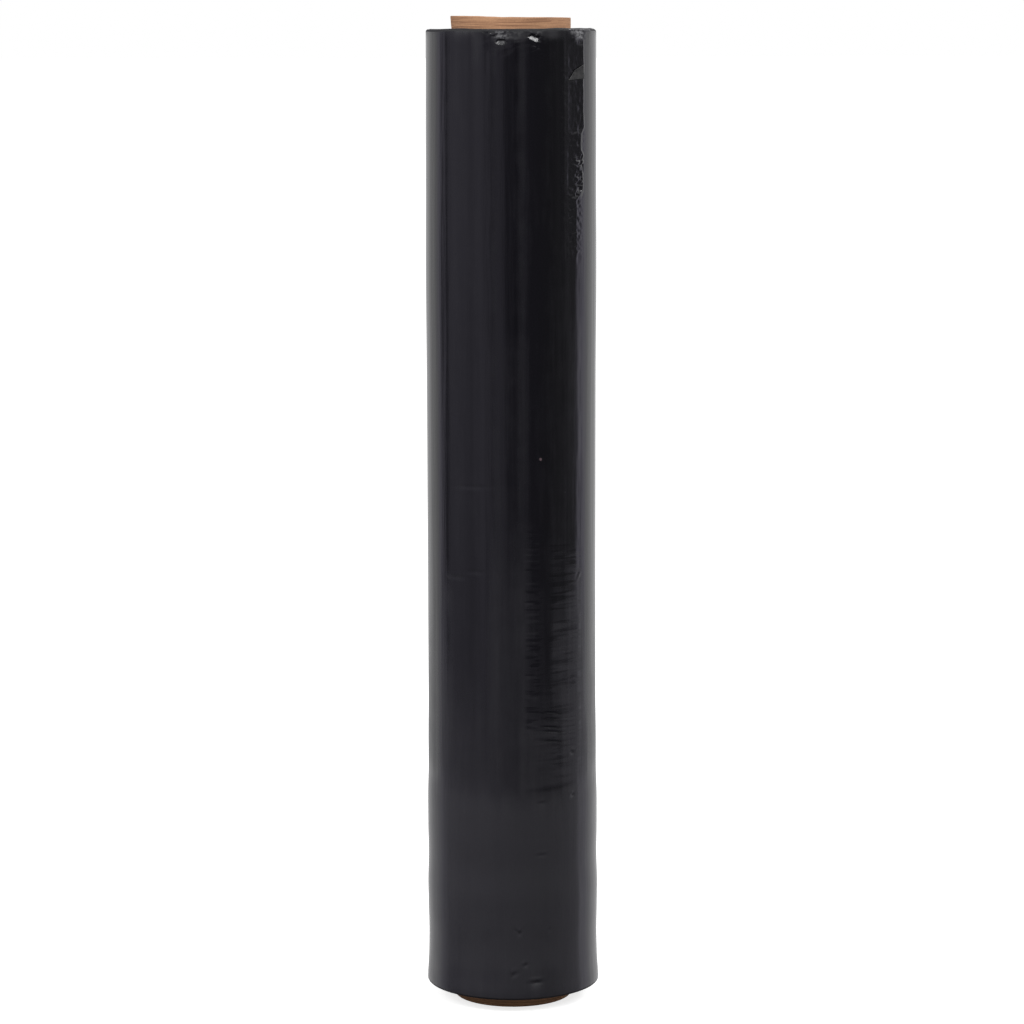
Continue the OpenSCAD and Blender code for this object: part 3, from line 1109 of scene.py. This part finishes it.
class WRAPROLL_OT_stage(bpy.types.Operator):
    """Sets up the pale floor, the soft lamps and the camera"""

    bl_idname = "wrap_roll.stage"
    bl_label = "Floor, lamps and camera"

    def execute(self, context):
        stage = context.scene.wrap_roll_stage
        self.camera(context, stage)
        self.floor(stage)
        self.surroundings(context)
        for lamp in LAMPS:
            self.lamp(*lamp)
        context.scene.view_settings.view_transform = "Standard"
        return {"FINISHED"}

    def camera(self, context, stage):
        data = bpy.data.cameras.new("Camera")
        data.lens = stage.lens
        data.sensor_width = 36.0
        data.clip_end = 200.0
        camera = add_object("Camera", data)
        turn = Matrix.Rotation(stage.pan, 4, "Z") @ Matrix.Rotation(math.radians(90) - stage.tilt, 4, "X")
        turn = turn @ Matrix.Rotation(stage.roll, 4, "Z")
        camera.matrix_world = Matrix.Translation((0.0, -stage.distance, stage.height)) @ turn
        context.scene.camera = camera

    def floor(self, stage):
        bm = bmesh.new()
        bmesh.ops.create_grid(bm, x_segments=8, y_segments=8, size=stage.floor_size / 2)
        floor = add_mesh("floor", bm)
        floor.visible_glossy = False
        material, tree = new_material("Pale floor")
        tree.nodes.clear()
        ray = put(tree, "ShaderNodeLightPath").outputs["Is Camera Ray"]
        shade = mix_colour(tree, ray, (0.22, 0.22, 0.22), (0.6, 0.6, 0.6))
        board = put(tree, "ShaderNodeBsdfDiffuse", Color=shade)
        glow = put(tree, "ShaderNodeEmission", Color=(1, 1, 1, 1), Strength=times(tree, ray, 0.74))
        both = put(tree, "ShaderNodeAddShader", _0=board.outputs[0], _1=glow.outputs[0])
        put(tree, "ShaderNodeOutputMaterial", Surface=both.outputs[0])
        floor.data.materials.append(material)

    def surroundings(self, context):
        """A white studio: white to the camera, and to gloss a white room with a grey front."""
        world = bpy.data.worlds.new("Studio")
        context.scene.world = world
        world.use_nodes = True
        tree = world.node_tree
        tree.nodes.clear()
        way = put(tree, "ShaderNodeTexCoord").outputs["Generated"]
        axes = put(tree, "ShaderNodeSeparateXYZ", Vector=way).outputs
        up = axes["Z"]
        turn = math_node(tree, "ARCTAN2", axes["X"], times(tree, axes["Y"], -1.0))
        seen = self.seen_round(tree, turn)
        # Dimmer low on the left
        beside = times(tree, between(tree, turn, -0.65, -0.85), between(tree, turn, -1.86, -1.7))
        dimmed = times(tree, beside, times(tree, between(tree, up, -0.05, -0.13), 0.22))
        seen = mix_colour(tree, dimmed, seen, (0.0, 0.0, 0.0))
        # A plain floor in front
        ahead = between(tree, math_node(tree, "ABSOLUTE", turn), 1.75, 1.45)
        plain = times(tree, times(tree, ahead, between(tree, up, -0.16, -0.25)), 0.85)
        seen = mix_colour(tree, plain, seen, (0.25, 0.24, 0.28))
        # The ceiling, lighter on the right
        ceiling = mix_colour(tree, between(tree, turn, 1.2, 1.6), (0.42, 0.42, 0.46), (0.95, 0.95, 0.98))
        seen = mix_colour(tree, between(tree, up, 0.02, 0.4), seen, ceiling)
        # The floor close by is dark
        seen = mix_colour(tree, between(tree, up, -0.32, -0.7), seen, (0.03, 0.03, 0.035))
        dome = mix_colour(tree, between(tree, up, 0.0, 0.6), (0.22, 0.22, 0.22), (0.85, 0.85, 0.85))
        path = put(tree, "ShaderNodeLightPath").outputs
        soft = mix_colour(tree, path["Is Glossy Ray"], dome, seen)
        shown = mix_colour(tree, path["Is Camera Ray"], soft, (1.0, 1.0, 1.0))
        back = put(tree, "ShaderNodeBackground", Color=shown, Strength=1.0)
        put(tree, "ShaderNodeOutputWorld", Surface=back.outputs[0])

    def seen_round(self, tree, turn):
        """What gloss sees at its own level, at turns in radians."""
        ramp = put(tree, "ShaderNodeValToRGB", Fac=times(tree, turn, 1.0 / math.tau, 0.5))
        elements = ramp.color_ramp.elements
        while len(elements) < len(SEEN_ROUND):
            elements.new(0.5)
        for element, (degrees, level) in zip(elements, SEEN_ROUND):
            element.position = degrees / 360 + 0.5
            plain = 40 < degrees < 100 or abs(degrees) > 115
            tint = (0.98, 0.98, 0.99) if plain else (0.96, 0.92, 1.12)
            element.color = (*(level * channel for channel in tint), 1.0)
        return ramp.outputs["Color"]

    def lamp(self, name, place, side, power):
        data = bpy.data.lights.new(name, "AREA")
        data.shape = "SQUARE"
        data.size = side
        data.energy = power
        lamp = add_object(name, data)
        lamp.location = place
        aim = Vector((0.0, 0.0, 0.25)) - Vector(place)
        lamp.rotation_euler = aim.to_track_quat("-Z", "Y").to_euler()


class WRAPROLL_PT_panel(bpy.types.Panel):
    """Lists the pieces of the roll and their sizes"""

    bl_idname = "WRAPROLL_PT_panel"
    bl_label = "Stretch wrap roll"
    bl_space_type = "VIEW_3D"
    bl_region_type = "UI"
    bl_category = "Wrap Roll"

    def draw(self, context):
        layout = self.layout
        for operator in OPERATORS:
            layout.operator(operator.bl_idname)
        for name in GROUPS:
            group = getattr(context.scene, name)
            column = layout.column(align=True)
            for key in group.__annotations__:
                column.prop(group, key)


GROUPS = {
    "wrap_roll_sizes": WrapRollSizes,
    "wrap_roll_finish": WrapRollFinish,
    "wrap_roll_stage": WrapRollStage,
}
OPERATORS = (WRAPROLL_OT_core, WRAPROLL_OT_film, WRAPROLL_OT_corner, WRAPROLL_OT_stage)


def register():
    for name, group in GROUPS.items():
        bpy.utils.register_class(group)
        setattr(bpy.types.Scene, name, PointerProperty(type=group))
    for cls in (*OPERATORS, WRAPROLL_PT_panel):
        bpy.utils.register_class(cls)


def unregister():
    for cls in reversed((*OPERATORS, WRAPROLL_PT_panel)):
        bpy.utils.unregister_class(cls)
    for name, group in GROUPS.items():
        delattr(bpy.types.Scene, name)
        bpy.utils.unregister_class(group)


def main():
    register()
    bpy.ops.wrap_roll.paper_core()
    bpy.ops.wrap_roll.wound_film()
    bpy.ops.wrap_roll.folded_corner()
    bpy.ops.wrap_roll.stage()


if __name__ == "__main__":
    main()
